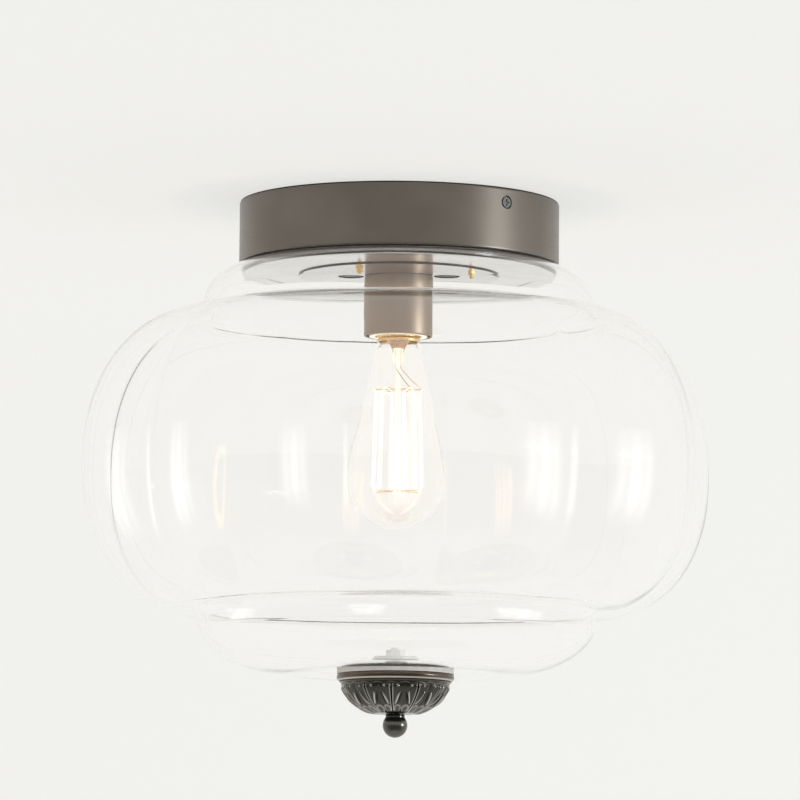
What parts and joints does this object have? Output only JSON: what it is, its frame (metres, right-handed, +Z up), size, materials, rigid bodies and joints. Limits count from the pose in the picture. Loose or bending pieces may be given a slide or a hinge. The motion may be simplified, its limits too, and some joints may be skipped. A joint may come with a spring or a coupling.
{
  "type": "flush mount ceiling light",
  "caption": "Flush mount ceiling light: satin metal canopy, wide lobed clear glass shade in three tiers, lamp socket with a filament bulb, and a leaf-relief finial with a ball under the glass.",
  "frame": {"origin": "middle of the ceiling face, on the lamp's axis", "axes": "+Z up into the ceiling, +X along the mounting bar, -Y towards the viewer of the picture"},
  "size_m": [0.381, 0.3812, 0.326],
  "materials": {
    "gunmetal": "satin gunmetal plating",
    "pale_zinc": "pale zinc plating",
    "brass": "bare brass",
    "porcelain": "glazed porcelain",
    "dark_insulator": "dark vitrite",
    "solder": "solder",
    "bulb_glass": "clear blown glass",
    "filament_wire": "glowing wire",
    "screw_steel": "dark plated steel",
    "gasket": "pale silicone",
    "clear_glass": "clear blown glass",
    "bronze": "dark polished bronze plating over a cast relief"
  },
  "bodies": {
    "base": {"mounting_bar": "pale_zinc", "ground_screw": "brass", "nipple": "pale_zinc", "nipple_nuts": "pale_zinc", "ceiling_pan": "pale_zinc", "socket_plate": "pale_zinc", "plate_studs": "brass", "plate_nuts": "brass", "socket_cup": "gunmetal", "socket_porcelain": "porcelain", "screw_shell": "brass", "centre_contact": "brass"},
    "bulb": {"bulb_base": "brass", "bulb_insulator": "dark_insulator", "bulb_tip": "solder", "bulb_glass": "bulb_glass", "bulb_stem": "bulb_glass", "bulb_supports": "filament_wire", "filament": "filament_wire"},
    "shade": {"canopy": "gunmetal", "screw_bosses": "pale_zinc", "retaining_ring": "pale_zinc", "neck_gasket": "gasket", "glass_shade": "clear_glass", "finial_gasket": "gasket", "finial_cup": "bronze", "finial_stud": "pale_zinc", "inner_gasket": "gasket", "inner_washer": "pale_zinc", "finial_nut": "pale_zinc"},
    "front_screw": {"side_screw_front": "screw_steel"},
    "rear_screw": {"side_screw_rear": "screw_steel"},
    "ball_nut": {"finial_ball": "bronze"}
  },
  "joints": [
    {"name": "shade_drop", "type": "slide", "parent": "base", "child": "shade", "axis": [0, 0, -1], "range_m": [0, 0.21]},
    {"name": "bulb_unscrew", "type": "slide", "parent": "base", "child": "bulb", "axis": [0, 0, -1], "range_m": [0, 0.032]},
    {"name": "front_screw_turn", "type": "hinge", "parent": "shade", "child": "front_screw", "pos_m": [0.06422, -0.07336, -0.009], "axis": [0.6587, -0.7524, 0], "continuous": true},
    {"name": "rear_screw_turn", "type": "hinge", "parent": "shade", "child": "rear_screw", "pos_m": [-0.06422, 0.07336, -0.009], "axis": [-0.6587, 0.7524, 0], "continuous": true},
    {"name": "ball_nut_turn", "type": "hinge", "parent": "shade", "child": "ball_nut", "pos_m": [0, 0, -0.3185], "axis": [0, 0, 1], "continuous": true}
  ]
}
